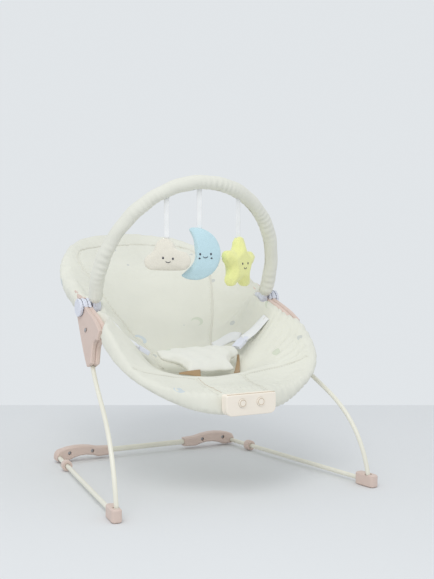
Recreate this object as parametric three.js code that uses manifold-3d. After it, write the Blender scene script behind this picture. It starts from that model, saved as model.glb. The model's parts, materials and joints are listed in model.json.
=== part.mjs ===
// Baby bouncer seat: a spring-wire floor frame, a padded fabric seat stretched over two tube loops,
// a padded toy bar with three hanging plush toys, a lap restraint and a vibration unit.
//
// Millimetres, +Z up, -Y is the front (the baby's feet), +X is the right side seen from the front.
// While building, y = 0 is the line through the two front feet; the whole group is moved at the end
// so that the origin is the middle of the footprint, on the floor.
import * as THREE from 'three';
import { mergeVertices } from 'three/addons/utils/BufferGeometryUtils.js';
import Module from 'manifold-3d';

const wasm = await Module();
wasm.setup();

// ---------------------------------------------------------------- driving dimensions
const GAP = 0.4; // clearance between neighbouring pieces
const WIRE_R = 4; // legs and floor rails
const TUBE_R = 5.2; // rear crossbar and seat loops
const CENTER_Y = 242.4; // middle of the footprint, from the front-feet line

// Floor frame
const FOOT_X = 231; // half spacing of the front feet
const REAR_X = 179; // half spacing of the rails where they meet the elbow brackets
const REAR_Y = 384;
const RAIL_Z = 9.5;
const FOOT = { length: 44, width: 17, height: 21, y: -8, round: 7, bevel: 2 };
const FUNNEL = { throat: WIRE_R + 0.8, mouth: WIRE_R + 2.6, length: 24, below: 3 }; // lets the leg flex
const CROSS_Y = 394;
const CROSS_Z = 14;
const BRACKET = { inner: 77, outer: 186, depth: 18, barEnd: 102, bevel: 2.5 };
const SCREW = { head: 3, shank: 2, headHeight: 2, well: 3.6, sink: 4.5 };
const SCREW_PLACES = [['inner', 115, 17], ['outer', BRACKET.outer - 26, 17]]; // name, x, z
const RING = { y: 326, radius: RAIL_Z, length: 13 };

// Legs and hubs
const LEG_PIVOT = new THREE.Vector3(FOOT_X, -18, 9); // lower end of a leg, where it flexes
const LEG_TOP = new THREE.Vector3(195, 169, 203);
const LEG_BURIED = 14; // length of leg inside the hub
const HUB = { splay: -9.5, middle: 188, middleZ: 250, half: 8.5, bevel: 1.5 }; // splay in degrees
const HUB_SCREW = { y: 205, z: 266, radius: 3.4, height: 1.7 };

// Toy bar: a half ellipse that leans forward, on two clips
const PIVOT = { y: 242, z: 302 }; // axis on which the toy bar tilts
const BAR = { halfWidth: 168.5, baseY: 219.3, baseZ: 343.7, rise: 172.5, lean: 0.4148 };
const CORE_R = 5;
const SLEEVE_R = 12.3;
const BAR_ENDS = { core: -11, sleeve: -6.5 }; // degrees round the arch, below its widest place
const CLIP = { radius: 15, inner: 174.8, outer: 195, slotWidth: 2.8, slotLow: 10, slotHigh: 18 };
const SOCKET = { radius: 13.5, inner: 156.5, outer: 171 };
const NECK = { radius: 7.6, start: -14.5, end: -8, boreStart: -12, boreEnd: -6 }; // degrees round the arch

// Cover and restraint
const PAD_THICKNESS = 11;
const LIP = { front: -10, back: 44, frontHalf: 52, backHalf: 92, top: 186.5, crown: 2, thickness: 5.5 };
const LAP = { lowY: 116, lowZ: 192, highY: 190, highZ: 226, thickness: 7 };
const LAP_HALF = { low: 46, waist: 40, high: 80 }; // half width of the lap panel, from the legs up
const STRAP = { from: 50, to: 88, width: 19, thickness: 1.6 }; // along the strap line
const BUCKLE = { start: 1, end: 21, width: 18, thickness: 7, mouth: 13 };
const TONGUE = { start: 14, grip: 21.6, end: 31, width: 12, thickness: 2.6, gripThickness: 5.2 };

// Vibration unit on the middle of the front loop
const UNIT = { halfWidth: 45, bottom: 144, top: 178, front: -22, wall: 2.2, depth: 12, plate: 6 };
const BAY = { halfWidth: 38, back: 38, bottom: 159, top: 176.5, motorEnd: 10, cellStart: 12 };
const BUTTON = { x: 16.5, z: 164.5, radius: 7, height: 6, proud: 1.6, flange: 1.2 };
const MOTOR = { y: 2, z: 167.7, radius: 6, left: -33, right: -10 };
const WEIGHT = { radius: 5.8, heel: 1.5, length: 5, start: -9 };
const CELL = { radius: 5.2, length: 44.5, z: 168.1, rows: [18, 29.6] };
const BOARD = { halfWidth: 36, front: -14.5, thickness: 1.5, bottom: 150, top: 174 };
const SPEAKER_R = 9;
const DOOR_THICKNESS = 1.8;

// Plush toys
const STAR = { tip: 46, valley: 28 };
const TOY = { halfThickness: 10, ribbonWidth: 9, ribbonThickness: 1.4, ribbonGap: 3 };

function material(color, roughness, metalness = 0) {
  return new THREE.MeshStandardMaterial({ color, roughness, metalness });
}

const MATERIALS = {
  wire: () => material(0xe6e4d4, 0.45, 0.1),
  rosePlastic: () => material(0xbfa398, 0.55),
  whitePlastic: () => material(0xe4e8f0, 0.5),
  creamPlastic: () => material(0xe9dccb, 0.45),
  cover: () => material(0xe3e2cf, 0.95),
  webbing: () => material(0xeef0f5, 0.85),
  cloud: () => material(0xd9d2bf, 0.95),
  moon: () => material(0xa9d3f0, 0.95),
  star: () => material(0xe2e36a, 0.95),
  steel: () => material(0xb4b6b8, 0.35, 0.9),
  circuit: () => material(0x3f6b4a, 0.6),
  battery: () => material(0x8f9aa5, 0.4, 0.3),
};

// ---------------------------------------------------------------- helpers
const group = new THREE.Group();
const SIDES = [['left', -1], ['right', 1]];

/** Adds one named solid to the group. */
function add(name, geometry, finish) {
  const mesh = new THREE.Mesh(geometry, MATERIALS[finish]());
  mesh.name = name;
  group.add(mesh);
}

/** The mirror image of a geometry in the plane x = 0, still facing out. */
function mirrored(geometry) {
  const copy = geometry.index ? geometry.toNonIndexed() : geometry.clone();
  const p = copy.attributes.position.array;
  for (let i = 0; i < p.length; i += 9) {
    for (let k = 0; k < 3; k += 1) {
      [p[i + 3 + k], p[i + 6 + k]] = [p[i + 6 + k], p[i + 3 + k]];
    }
    for (let k = 0; k < 9; k += 3) p[i + k] *= -1;
  }
  return copy;
}

/** Adds a piece made for the right side, and its mirror image on the left. */
function addPair(name, geometry, finish) {
  for (const [side, sign] of SIDES) add(`${name}_${side}`, sign > 0 ? geometry : mirrored(geometry), finish);
}

function toSolid(geometry) {
  const bare = geometry.clone();
  bare.deleteAttribute('normal');
  bare.deleteAttribute('uv');
  const merged = mergeVertices(bare, 1e-3);
  return new wasm.Manifold(new wasm.Mesh({
    numProp: 3,
    vertProperties: Float32Array.from(merged.attributes.position.array),
    triVerts: Uint32Array.from(merged.index.array),
  }));
}

function toGeometry(solid) {
  const mesh = solid.getMesh();
  const geometry = new THREE.BufferGeometry();
  geometry.setAttribute('position', new THREE.BufferAttribute(Float32Array.from(mesh.vertProperties), 3));
  geometry.setIndex(new THREE.BufferAttribute(Uint32Array.from(mesh.triVerts), 1));
  return geometry;
}

/** One geometry with others cut out of it. */
function cut(geometry, ...tools) {
  return toGeometry(tools.reduce((solid, tool) => solid.subtract(toSolid(tool)), toSolid(geometry)));
}

function join(geometry, ...others) {
  return toGeometry(others.reduce((solid, other) => solid.add(toSolid(other)), toSolid(geometry)));
}

function ringShape(radius, sides) {
  const points = [];
  for (let i = 0; i < sides; i += 1) {
    const a = (i / sides) * Math.PI * 2;
    points.push(new THREE.Vector2(radius * Math.cos(a), radius * Math.sin(a)));
  }
  return points;
}

/** A round bar along a curve, or a pipe when an inner radius is given. */
function bar(curve, radius, { steps = 1, sides = 10, inner = 0 } = {}) {
  const shape = new THREE.Shape(ringShape(radius, sides));
  if (inner > 0) shape.holes.push(new THREE.Path(ringShape(inner, sides)));
  return new THREE.ExtrudeGeometry(shape, { steps, extrudePath: curve });
}

const v3 = (x, y, z) => new THREE.Vector3(x, y, z);
const straight = (a, b) => new THREE.LineCurve3(a, b);
const smooth = (points) => new THREE.CatmullRomCurve3(points, false, 'centripetal');

/** A straight round bar between two points; its facets stay upright. */
const rod = (a, b, radius, sides = 12) => bar(straight(a, b), radius, { sides });

function box(x0, x1, y0, y1, z0, z1) {
  const geometry = new THREE.BoxGeometry(x1 - x0, y1 - y0, z1 - z0);
  return geometry.translate((x0 + x1) / 2, (y0 + y1) / 2, (z0 + z1) / 2);
}

const AXES = {
  x: new THREE.Matrix4().makeBasis(v3(0, 1, 0), v3(0, 0, 1), v3(1, 0, 0)), // outline in y, z
  y: new THREE.Matrix4().makeBasis(v3(1, 0, 0), v3(0, 0, 1), v3(0, -1, 0)), // outline in x, z
  z: new THREE.Matrix4(), // outline in x, y
};

/** An outline extruded along one axis, with its rim rounded by a bevel that stays inside the outline. */
function slab(shape, depth, axis, bevel = 0) {
  const geometry = new THREE.ExtrudeGeometry(shape, {
    depth: depth - 2 * bevel,
    curveSegments: 5,
    bevelEnabled: bevel > 0,
    bevelThickness: bevel,
    bevelSize: bevel,
    bevelOffset: -bevel,
    bevelSegments: 1,
  });
  return geometry.translate(0, 0, bevel).applyMatrix4(AXES[axis]);
}

function roundedRect(width, height, radii) {
  const [tl, tr, br, bl] = radii;
  const x = width / 2;
  const y = height / 2;
  const shape = new THREE.Shape();
  shape.moveTo(-x + bl, -y);
  shape.lineTo(x - br, -y);
  shape.quadraticCurveTo(x, -y, x, -y + br);
  shape.lineTo(x, y - tr);
  shape.quadraticCurveTo(x, y, x - tr, y);
  shape.lineTo(-x + tl, y);
  shape.quadraticCurveTo(-x, y, -x, y - tl);
  shape.lineTo(-x, -y + bl);
  shape.quadraticCurveTo(-x, -y, -x + bl, -y);
  return shape;
}

/** Straight-line interpolation in a short list of [position, value] pairs. */
function between(list, at) {
  const next = list.findIndex(([position]) => position >= at);
  if (next <= 0) return next === 0 ? list[0][1] : list[list.length - 1][1];
  const [p0, v0] = list[next - 1];
  const [p1, v1] = list[next];
  return v0 + ((v1 - v0) * (at - p0)) / (p1 - p0);
}

// ---------------------------------------------------------------- shape of the seat
// Half width and height of the tube loops along y, and the height of the fabric on the middle line.
const RIM_HALF_WIDTH = [
  [2, 0], [7, 45], [20, 79], [37, 114], [57, 143], [78, 163], [98, 174], [116, 180], [150, 184.5], [200, 183],
  [248, 179], [300, 172], [333, 168], [365, 162], [400, 152], [440, 135], [480, 105], [502, 60], [510, 0],
];
const RIM_HEIGHT = [[2, 150], [20, 161], [57, 190], [98, 222.5], [146, 260], [248, 303], [510, 409]];
const MIDDLE_HEIGHT = [
  [-12, 176], [30, 181], [88, 183], [140, 178], [190, 182], [240, 207], [300, 255], [420, 352], [505, 405],
];
const halfWidthAt = (y) => between(RIM_HALF_WIDTH, y);
const rimHeightAt = (y) => between(RIM_HEIGHT, y);

/** Height of the fabric at a place across the seat, u = 0 on the middle line and 1 at the tube. */
function fabricHeight(u, y) {
  const middle = between(MIDDLE_HEIGHT, y);
  return middle + (rimHeightAt(y) - middle) * Math.abs(u) ** 2.4;
}

const rimPoint = (side) => (y) => v3(side * halfWidthAt(y), y, rimHeightAt(y));

/** A padded panel of the cover: a slab that follows the fabric between two places across and along. */
function panel(u0, u1, y0, y1, acrossSteps, alongSteps, widthLimit = Infinity) {
  const geometry = new THREE.BoxGeometry(1, 1, 1, acrossSteps, alongSteps, 1);
  const p = geometry.attributes.position;
  for (let i = 0; i < p.count; i += 1) {
    const u = u0 + (u1 - u0) * (p.getX(i) + 0.5);
    const y = y0 + (y1 - y0) * (p.getY(i) + 0.5);
    const x = u * Math.min(halfWidthAt(y), widthLimit);
    const top = fabricHeight(x / halfWidthAt(y), y);
    p.setXYZ(i, x, y, top - PAD_THICKNESS * (0.5 - p.getZ(i)));
  }
  return geometry;
}

// ---------------------------------------------------------------- floor frame
const railDirection = v3(REAR_X - FOOT_X, REAR_Y + 4, 0).normalize();
const railFront = v3(FOOT_X, -4, RAIL_Z);
const railBack = v3(REAR_X, REAR_Y + 6, RAIL_Z);
const legCurve = new THREE.CubicBezierCurve3(LEG_TOP, v3(207, 108, 150), v3(226, 12, 148), LEG_PIVOT);
const legSink = legCurve.getTangent(0).multiplyScalar(-LEG_BURIED).add(LEG_TOP);

function footCap() {
  const outline = roundedRect(FOOT.width, FOOT.length, [FOOT.round, FOOT.round, FOOT.round, FOOT.round]);
  const body = slab(outline, FOOT.height, 'z', FOOT.bevel);
  body.rotateZ(Math.atan2(-railDirection.x, railDirection.y));
  body.translate(FOOT_X + 1, FOOT.y, 0);
  const railBore = rod(railFront.clone().addScaledVector(railDirection, -2), railBack, WIRE_R + GAP);
  const upLeg = legCurve.getTangent(1).negate();
  const funnel = new THREE.CylinderGeometry(FUNNEL.mouth, FUNNEL.throat, FUNNEL.length, 16);
  funnel.applyQuaternion(new THREE.Quaternion().setFromUnitVectors(v3(0, 1, 0), upLeg));
  const middle = LEG_PIVOT.clone().addScaledVector(upLeg, FUNNEL.length / 2 - FUNNEL.below);
  return cut(body, railBore, funnel.translate(middle.x, middle.y, middle.z));
}

function floorRail() {
  return rod(railFront, railBack, WIRE_R);
}

function ringFoot() {
  const along = (RING.y - railFront.y) / (railBack.y - railFront.y);
  const centre = railFront.clone().lerp(railBack, along);
  const half = railDirection.clone().multiplyScalar(RING.length / 2);
  const a = centre.clone().sub(half);
  const b = centre.clone().add(half);
  return bar(straight(a, b), RING.radius, { sides: 16, inner: WIRE_R + GAP });
}

/** Arched side outline of an elbow bracket, in x and z. */
function bracketOutline() {
  const { inner, outer, barEnd } = BRACKET;
  const shape = new THREE.Shape();
  shape.moveTo(inner, 6);
  shape.lineTo(barEnd, 5);
  shape.quadraticCurveTo(132, 17, outer - 24, 3);
  shape.lineTo(outer - 4, 3);
  shape.quadraticCurveTo(outer, 4, outer, 10);
  shape.quadraticCurveTo(outer, 21, outer - 10, 24);
  shape.quadraticCurveTo(140, 34, barEnd, 23);
  shape.lineTo(inner, 21.5);
  return shape;
}

function elbowBracket() {
  const { inner, depth, barEnd, bevel } = BRACKET;
  const body = slab(bracketOutline(), depth, 'y', bevel).translate(0, CROSS_Y + depth / 2, 0);
  const barBore = rod(v3(inner - 5, CROSS_Y, CROSS_Z), v3(barEnd + 1, CROSS_Y, CROSS_Z), TUBE_R + GAP);
  const railBore = rod(railFront, railBack.clone().addScaledVector(railDirection, 1), WIRE_R + GAP);
  const floorY = CROSS_Y - SCREW.sink;
  const wells = SCREW_PLACES.map(([, x, z]) => rod(v3(x, floorY - depth, z), v3(x, floorY, z), SCREW.well));
  return cut(body, barBore, railBore, ...wells);
}

/** A pan-head screw that faces the front, its head sunk in the bracket, with a low crown. */
function frontScrew(x, z) {
  const base = CROSS_Y - SCREW.sink - GAP;
  const face = base - SCREW.headHeight;
  const head = rod(v3(x, face, z), v3(x, base, z), SCREW.head);
  return join(head, rod(v3(x, face - 0.2, z), v3(x, base, z), SCREW.shank));
}

function buildBase() {
  addPair('foot_cap', footCap(), 'rosePlastic');
  addPair('floor_rail', floorRail(), 'wire');
  addPair('ring_foot', ringFoot(), 'rosePlastic');
  addPair('elbow_bracket', elbowBracket(), 'rosePlastic');
  const crossEnds = [-1, 1].map((side) => v3(side * BRACKET.barEnd, CROSS_Y, CROSS_Z));
  add('rear_crossbar', rod(...crossEnds, TUBE_R), 'wire');
  for (const [name, x, z] of SCREW_PLACES) addPair(`bracket_screw_${name}`, frontScrew(x, z), 'steel');
}

// ---------------------------------------------------------------- legs, hubs and seat loops
function leg() {
  const points = [legSink, ...legCurve.getPoints(9)];
  return bar(smooth(points), WIRE_R, { steps: 22, sides: 8 });
}

/** Curve of a tube loop through the rim points at the given places, once round from left to right. */
function loopCurve(places, tipY) {
  const left = places.map(rimPoint(-1));
  const right = places.map(rimPoint(1)).reverse();
  return smooth([...left, v3(0, tipY, rimHeightAt(tipY)), ...right]);
}

const backCurve = loopCurve([222, 262, 300, 333, 365, 400, 440, 480, 502], 510);
const frontCurve = loopCurve([188, 150, 116, 98, 78, 57, 37, 20, 7], 3.5);
const loopBar = (curve, radius) => bar(curve, radius, { steps: 40, sides: 8 });

/** Kite-shaped side outline of a hub, in y and z. */
function hubOutline() {
  const shape = new THREE.Shape();
  shape.moveTo(288, 329);
  shape.lineTo(262, 319);
  shape.lineTo(222, 302);
  shape.quadraticCurveTo(178, 289, 162, 279);
  shape.lineTo(148, 271);
  shape.lineTo(153, 255);
  shape.quadraticCurveTo(168, 254, 168, 240);
  shape.lineTo(163, 215);
  shape.lineTo(179, 207);
  shape.quadraticCurveTo(204, 226, 262, 290);
  shape.lineTo(294, 312);
  return shape;
}

/** Leans a hub that stands upright at x = 0 out to its place on the right side. */
const hubPlace = new THREE.Matrix4().makeTranslation(HUB.middle, 0, HUB.middleZ)
  .multiply(new THREE.Matrix4().makeRotationY(THREE.MathUtils.degToRad(HUB.splay)))
  .multiply(new THREE.Matrix4().makeTranslation(0, 0, -HUB.middleZ));

/** One half of a hub: the outer half lies outboard of the tubes' middle, the inner half inboard. */
function hubHalf(outer) {
  const start = outer ? GAP / 2 : -HUB.half;
  const half = slab(hubOutline(), HUB.half - GAP / 2, 'x', HUB.bevel);
  half.translate(start, 0, 0).applyMatrix4(hubPlace);
  const loopBores = [backCurve, frontCurve].map((curve) => loopBar(curve, TUBE_R + GAP));
  const boreEnd = legSink.clone().addScaledVector(legCurve.getTangent(0), -1);
  const legBore = rod(boreEnd, legCurve.getPoint(0.12), WIRE_R + 1);
  const socketRoom = pivotCylinder(SOCKET.inner - 9, SOCKET.outer + GAP, SOCKET.radius + 1.5);
  return cut(half, ...loopBores, legBore, socketRoom);
}

function hubScrew() {
  const { y, z, radius, height } = HUB_SCREW;
  const seat = HUB.half + GAP;
  return rod(v3(seat, y, z), v3(seat + height, y, z), radius).applyMatrix4(hubPlace);
}

function buildSeatFrame() {
  addPair('leg', leg(), 'wire');
  addPair('hub_outer', hubHalf(true), 'rosePlastic');
  addPair('hub_inner', hubHalf(false), 'rosePlastic');
  addPair('hub_screw', hubScrew(), 'steel');
  add('back_loop', loopBar(backCurve, TUBE_R), 'wire');
  add('front_loop', loopBar(frontCurve, TUBE_R), 'wire');
}

// ---------------------------------------------------------------- padded cover
/** The lip of the seat, a thin pad that crowns over the front loop and the vibration unit. */
function frontLip() {
  const geometry = new THREE.BoxGeometry(1, 1, 1, 6, 2, 1);
  const p = geometry.attributes.position;
  for (let i = 0; i < p.count; i += 1) {
    const y = LIP.front + (LIP.back - LIP.front) * (p.getY(i) + 0.5);
    const halfWidth = LIP.frontHalf + (LIP.backHalf - LIP.frontHalf) * (p.getY(i) + 0.5);
    const x = 2 * halfWidth * p.getX(i);
    const crown = LIP.crown * (2 * p.getX(i)) ** 2;
    p.setXYZ(i, x, y, LIP.top - crown - LIP.thickness * (0.5 - p.getZ(i)));
  }
  return geometry;
}

function buildCover() {
  add('cover_headrest', panel(-0.88, 0.88, 404, 494, 8, 4), 'cover');
  add('cover_back', panel(-0.62, 0.62, 196, 402, 6, 7), 'cover');
  add('cover_seat', panel(-1, 1, 46, 194, 6, 4, 104), 'cover');
  add('cover_front', frontLip(), 'cover');
  addPair('cover_side', panel(0.64, 0.84, 100, 400, 2, 9), 'cover');
}

// ---------------------------------------------------------------- restraint
const STRAP_START = v3(84, 190, 222);
const STRAP_END = v3(156, 214, 272);
const strapDirection = STRAP_END.clone().sub(STRAP_START).normalize();

/** T-shaped lap panel: narrow between the legs, wide across the waist, with a bowed upper edge. */
function lapPanel() {
  const low = v3(0, LAP.lowY, LAP.lowZ);
  const high = v3(0, LAP.highY, LAP.highZ);
  const length = high.distanceTo(low);
  const armpit = length - 30;
  const shoulder = length - 5;
  const shape = new THREE.Shape();
  shape.moveTo(-LAP_HALF.low, 0);
  shape.quadraticCurveTo(-LAP_HALF.waist, armpit / 2, 2 - LAP_HALF.high, armpit);
  shape.lineTo(-LAP_HALF.high, shoulder);
  shape.quadraticCurveTo(0, length + 4, LAP_HALF.high, shoulder);
  shape.lineTo(LAP_HALF.high - 2, armpit);
  shape.quadraticCurveTo(LAP_HALF.waist, armpit / 2, LAP_HALF.low, 0);
  const up = high.sub(low).normalize();
  const across = v3(1, 0, 0);
  const place = new THREE.Matrix4().makeBasis(across, up, across.clone().cross(up)).setPosition(low);
  return slab(shape, LAP.thickness, 'z', 2).applyMatrix4(place);
}

/** Moves a piece laid out along x, flat in z, onto the right strap's line. */
function onStrap(geometry) {
  const normal = v3(0, 0, 1).addScaledVector(strapDirection, -strapDirection.z).normalize();
  const side = normal.clone().cross(strapDirection);
  const place = new THREE.Matrix4().makeBasis(strapDirection, side, normal).setPosition(STRAP_START);
  return geometry.applyMatrix4(place);
}

/** A flat piece of the strap's hardware: its ends along the strap, its full width and its full thickness. */
function flat(from, to, width, thickness) {
  return box(from, to, -width / 2, width / 2, -thickness / 2, thickness / 2);
}

function buildRestraint() {
  add('lap_panel', lapPanel(), 'cover');
  const mouth = flat(BUCKLE.mouth, BUCKLE.end + 1, TONGUE.width + 2 * GAP, TONGUE.thickness + 2 * GAP);
  const socket = cut(flat(BUCKLE.start, BUCKLE.end, BUCKLE.width, BUCKLE.thickness), mouth);
  const blade = flat(TONGUE.start, TONGUE.grip + 1, TONGUE.width, TONGUE.thickness);
  const tongue = join(blade, flat(TONGUE.grip, TONGUE.end, BUCKLE.width, TONGUE.gripThickness));
  addPair('buckle_socket', onStrap(socket), 'whitePlastic');
  addPair('buckle_tongue', onStrap(tongue), 'whitePlastic');
  addPair('strap', onStrap(flat(STRAP.from, STRAP.to, STRAP.width, STRAP.thickness)), 'webbing');
}

// ---------------------------------------------------------------- vibration unit
function unitOutline(inset) {
  const width = 2 * (UNIT.halfWidth - inset);
  const height = UNIT.top - UNIT.bottom - 2 * inset;
  return roundedRect(width, height, [4, 4, 12, 12]);
}

const unitBlock = (inset, back, depth) => slab(unitOutline(inset), depth, 'y', inset ? 0 : 1.2)
  .translate(0, back, (UNIT.top + UNIT.bottom) / 2);

/** A round piece that faces the front, at the height of the buttons. */
const faceCylinder = (x, y0, y1, radius) => rod(v3(x, y0, BUTTON.z), v3(x, y1, BUTTON.z), radius, 20);

function unitFrontShell() {
  const back = UNIT.front + UNIT.depth;
  const pocket = unitBlock(UNIT.wall, back + 1, UNIT.depth + 1 - UNIT.wall);
  const hole = (x) => faceCylinder(x, UNIT.front - 2, back, BUTTON.radius + GAP);
  return cut(unitBlock(0, back, UNIT.depth), pocket, hole(-BUTTON.x), hole(BUTTON.x));
}

function unitBackShell() {
  const plateFront = UNIT.front + UNIT.depth + GAP;
  const plate = unitBlock(0, plateFront + UNIT.plate, UNIT.plate);
  const bay = box(-BAY.halfWidth, BAY.halfWidth, plateFront + UNIT.plate / 2, BAY.back, BAY.bottom, BAY.top);
  const half = BAY.halfWidth - UNIT.wall;
  const ceiling = BAY.top - UNIT.wall;
  const motorRoom = box(-half, half, plateFront - 1, BAY.motorEnd, BAY.bottom + UNIT.wall, ceiling);
  const cellRoom = box(-half, half, BAY.cellStart, BAY.back - UNIT.wall, BAY.bottom - 1, ceiling);
  return cut(join(plate, bay), motorRoom, cellRoom);
}

function button(x) {
  const face = UNIT.front - BUTTON.proud;
  const flangeFront = UNIT.front + UNIT.wall + GAP;
  const cap = faceCylinder(x, face, face + BUTTON.height, BUTTON.radius);
  return join(cap, faceCylinder(x, flangeFront, flangeFront + BUTTON.flange, BUTTON.radius + BUTTON.flange));
}

/** Half-disc weight on the motor shaft. */
function eccentricWeight() {
  const shape = new THREE.Shape();
  shape.absarc(0, 0, WEIGHT.radius, 0, Math.PI, false);
  shape.lineTo(-WEIGHT.radius, -WEIGHT.heel);
  shape.lineTo(WEIGHT.radius, -WEIGHT.heel);
  return slab(shape, WEIGHT.length, 'x').translate(WEIGHT.start, MOTOR.y, MOTOR.z);
}

function batteryDoor() {
  const inset = UNIT.wall + GAP;
  const half = BAY.halfWidth - inset;
  return box(-half, half, BAY.cellStart + GAP, BAY.back - inset, BAY.bottom, BAY.bottom + DOOR_THICKNESS);
}

function buildUnit() {
  add('unit_front_shell', unitFrontShell(), 'creamPlastic');
  add('unit_back_shell', unitBackShell(), 'creamPlastic');
  addPair('button', button(BUTTON.x), 'creamPlastic');
  const { halfWidth, front, thickness, bottom, top } = BOARD;
  add('circuit_board', box(-halfWidth, halfWidth, front, front + thickness, bottom, top), 'circuit');
  add('speaker', faceCylinder(0, front + thickness + GAP, UNIT.front + UNIT.depth - GAP, SPEAKER_R), 'steel');
  const motorEnds = [MOTOR.left, MOTOR.right].map((x) => v3(x, MOTOR.y, MOTOR.z));
  add('motor', rod(...motorEnds, MOTOR.radius), 'steel');
  add('eccentric_weight', eccentricWeight(), 'steel');
  CELL.rows.forEach((y, i) => {
    const ends = [v3(-CELL.length / 2, y, CELL.z), v3(CELL.length / 2, y, CELL.z)];
    add(`battery_${i + 1}`, rod(...ends, CELL.radius), 'battery');
  });
  add('battery_door', batteryDoor(), 'creamPlastic');
}

// ---------------------------------------------------------------- toy bar
/** Point of the arch's centre line; a = 0 at its widest, 90 degrees at the top. */
function archPoint(side, degrees) {
  const a = THREE.MathUtils.degToRad(degrees);
  const lift = BAR.rise * Math.sin(a);
  return v3(side * BAR.halfWidth * Math.cos(a), BAR.baseY - BAR.lean * lift, BAR.baseZ + lift);
}

function archCurve(from) {
  const places = [];
  for (let k = 0; k <= 12; k += 1) places.push(from + ((90 - from) * k) / 12);
  const left = places.map((d) => archPoint(-1, d));
  const right = places.slice(0, -1).reverse().map((d) => archPoint(1, d));
  return smooth([...left, ...right]);
}

function pivotCylinder(x0, x1, radius) {
  return rod(v3(x0, PIVOT.y, PIVOT.z), v3(x1, PIVOT.y, PIVOT.z), radius, 20);
}

function toyBarClip() {
  const room = HUB.half + 1.5 * GAP;
  const hubRoom = slab(hubOutline(), 2 * room, 'x').translate(-room, 0, 0).applyMatrix4(hubPlace);
  const y = CLIP.slotWidth / 2;
  const slot = box(CLIP.outer - 6, CLIP.outer + 2, -y, y, CLIP.slotLow, CLIP.slotHigh);
  slot.translate(0, PIVOT.y, PIVOT.z);
  return cut(pivotCylinder(CLIP.inner, CLIP.outer, CLIP.radius), hubRoom, slot);
}

function toyBarSocket() {
  const disc = pivotCylinder(SOCKET.inner, SOCKET.outer, SOCKET.radius);
  const neck = rod(archPoint(1, NECK.start), archPoint(1, NECK.end), NECK.radius, 14);
  const bore = rod(archPoint(1, NECK.boreStart), archPoint(1, NECK.boreEnd), CORE_R + GAP, 14);
  const outboard = pivotCylinder(SOCKET.outer, SOCKET.outer + 20, SOCKET.radius + 1);
  return cut(join(disc, neck), bore, outboard);
}

function buildToyBar() {
  addPair('toy_bar_clip', toyBarClip(), 'whitePlastic');
  addPair('toy_bar_socket', toyBarSocket(), 'whitePlastic');
  add('toy_bar_core', bar(archCurve(BAR_ENDS.core), CORE_R, { steps: 36, sides: 8 }), 'wire');
  const sleeve = { steps: 36, sides: 12, inner: CORE_R + GAP };
  add('toy_bar_sleeve', bar(archCurve(BAR_ENDS.sleeve), SLEEVE_R, sleeve), 'cover');
}

// ---------------------------------------------------------------- toys
function cloudShape() {
  const shape = new THREE.Shape();
  shape.absarc(-21, -12, 15, Math.PI * 0.62, Math.PI * 1.5, false);
  shape.lineTo(20, -27);
  shape.absarc(21, -10, 17, -Math.PI / 2, Math.PI * 0.42, false);
  shape.absarc(-1, 7, 20, Math.PI * 0.12, Math.PI * 0.92, false);
  return shape;
}

/** Points of a circular arc, from one angle to another in degrees. */
function arcPoints(centreX, radius, from, to, count) {
  return Array.from({ length: count }, (_, i) => {
    const a = THREE.MathUtils.degToRad(from + ((to - from) * i) / (count - 1));
    return new THREE.Vector2(centreX + radius * Math.cos(a), radius * Math.sin(a));
  });
}

/** Crescent with its horns to the left, its middle on the ribbon. */
function moonShape() {
  const outer = arcPoints(-12, 45, 118, -118, 17);
  const inner = arcPoints(-41.3, 40.5, -74, 74, 9);
  return new THREE.Shape([...outer, ...inner]);
}

function starShape() {
  const points = Array.from({ length: 10 }, (_, i) => {
    const a = Math.PI / 2 + (i * Math.PI) / 5;
    const r = i % 2 ? STAR.valley : STAR.tip;
    return new THREE.Vector2(r * Math.cos(a), r * Math.sin(a));
  });
  return new THREE.Shape(points);
}

// Where each toy hangs on the arch, how far down its middle is, how it is turned, and how high its top is.
const TOYS = [
  { name: 'cloud', degrees: 113.5, drop: 89, yaw: -26, roll: 0, shape: cloudShape, top: 27.3 },
  { name: 'moon', degrees: 92.9, drop: 108, yaw: -24, roll: -9, shape: moonShape, top: 46.5 },
  { name: 'star', degrees: 65.6, drop: 109, yaw: 33, roll: -4, shape: starShape, top: STAR.tip },
];

/** Under side of the padded arch, where a ribbon starts. */
function hangPoint(degrees) {
  const p = archPoint(1, degrees);
  return v3(p.x, p.y, p.z - SLEEVE_R / Math.sin(THREE.MathUtils.degToRad(degrees)) - TOY.ribbonGap);
}

function buildToys() {
  for (const toy of TOYS) {
    const hang = hangPoint(toy.degrees);
    const yaw = THREE.MathUtils.degToRad(toy.yaw);
    const body = slab(toy.shape(), 2 * TOY.halfThickness, 'y').translate(0, TOY.halfThickness, 0);
    body.rotateY(THREE.MathUtils.degToRad(-toy.roll)).rotateZ(yaw);
    body.translate(hang.x, hang.y, hang.z - toy.drop);
    add(`${toy.name}_toy`, body, toy.name);
    const low = toy.drop - toy.top - GAP;
    const ribbon = new THREE.BoxGeometry(TOY.ribbonWidth, TOY.ribbonThickness, low).translate(0, 0, -low / 2);
    add(`${toy.name}_ribbon`, ribbon.rotateZ(yaw).translate(hang.x, hang.y, hang.z), 'webbing');
  }
}

buildBase();
buildSeatFrame();
buildCover();
buildRestraint();
buildUnit();
buildToyBar();
buildToys();
group.position.y = -CENTER_Y;
group.updateMatrixWorld(true);

export default group;
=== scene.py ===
"""Baby bouncer seat: soft goods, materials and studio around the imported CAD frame."""
import bmesh
import bpy
import json
import math
import numpy as np
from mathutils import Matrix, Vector, noise
from mathutils.bvhtree import BVHTree

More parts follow.
